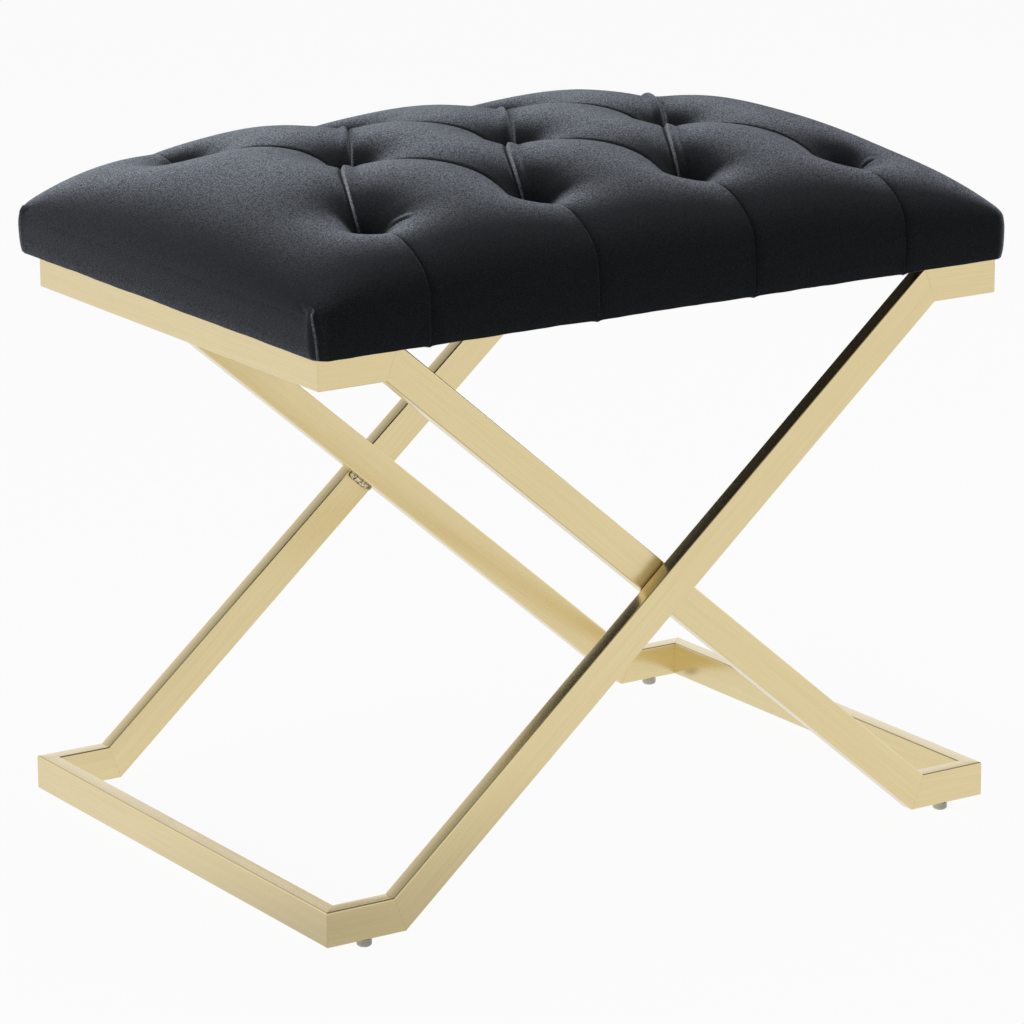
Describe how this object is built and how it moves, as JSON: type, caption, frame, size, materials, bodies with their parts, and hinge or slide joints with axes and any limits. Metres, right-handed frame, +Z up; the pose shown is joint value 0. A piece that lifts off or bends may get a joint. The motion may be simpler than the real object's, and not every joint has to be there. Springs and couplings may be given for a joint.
{
  "type": "velvet bench",
  "caption": "Low bench with a diamond-tufted velvet seat on crossed, mitred loops of brushed metal tube that stand on small plastic glides.",
  "frame": {"origin": "on the floor, under the middle of the bench", "axes": "+X along the bench's length, +Y across its depth towards the back, +Z up"},
  "size_m": [0.565, 0.417, 0.5027],
  "materials": {
    "brushed_gold": "satin",
    "velvet": "matte",
    "foam": "matte",
    "plywood": "matte",
    "lining": "matte",
    "twine": "matte",
    "glide_plastic": "satin",
    "zinc_plate": "satin"
  },
  "bodies": {
    "root": {"crossing_weld_front": "brushed_gold", "crossing_weld_rear": "brushed_gold", "dust_cover": "lining", "foam_pad": "foam", "glide_front_left": "glide_plastic", "glide_front_right": "glide_plastic", "glide_rear_left": "glide_plastic", "glide_rear_right": "glide_plastic", "inner_frame_bottom_rail": "brushed_gold", "inner_frame_bottom_stub_front": "brushed_gold", "inner_frame_bottom_stub_rear": "brushed_gold", "inner_frame_leg_front": "brushed_gold", "inner_frame_leg_rear": "brushed_gold", "inner_frame_top_rail": "brushed_gold", "inner_frame_top_stub_front": "brushed_gold", "inner_frame_top_stub_rear": "brushed_gold", "outer_frame_bottom_rail": "brushed_gold", "outer_frame_bottom_stub_front": "brushed_gold", "outer_frame_bottom_stub_rear": "brushed_gold", "outer_frame_leg_front": "brushed_gold", "outer_frame_leg_rear": "brushed_gold", "outer_frame_top_rail": "brushed_gold", "outer_frame_top_stub_front": "brushed_gold", "outer_frame_top_stub_rear": "brushed_gold", "seat_board": "plywood", "seat_screw_front_left": "zinc_plate", "seat_screw_front_right": "zinc_plate", "seat_screw_rear_left": "zinc_plate", "seat_screw_rear_right": "zinc_plate", "seat_tab_front_left": "brushed_gold", "seat_tab_front_right": "brushed_gold", "seat_tab_rear_left": "brushed_gold", "seat_tab_rear_right": "brushed_gold", "tuft_tie_back_1": "twine", "tuft_tie_back_2": "twine", "tuft_tie_back_3": "twine", "tuft_tie_back_4": "twine", "tuft_tie_front_1": "twine", "tuft_tie_front_2": "twine", "tuft_tie_front_3": "twine", "tuft_tie_front_4": "twine", "tuft_tie_middle_1": "twine", "tuft_tie_middle_2": "twine", "tuft_tie_middle_3": "twine", "velvet_cover": "velvet"}
  },
  "joints": []
}
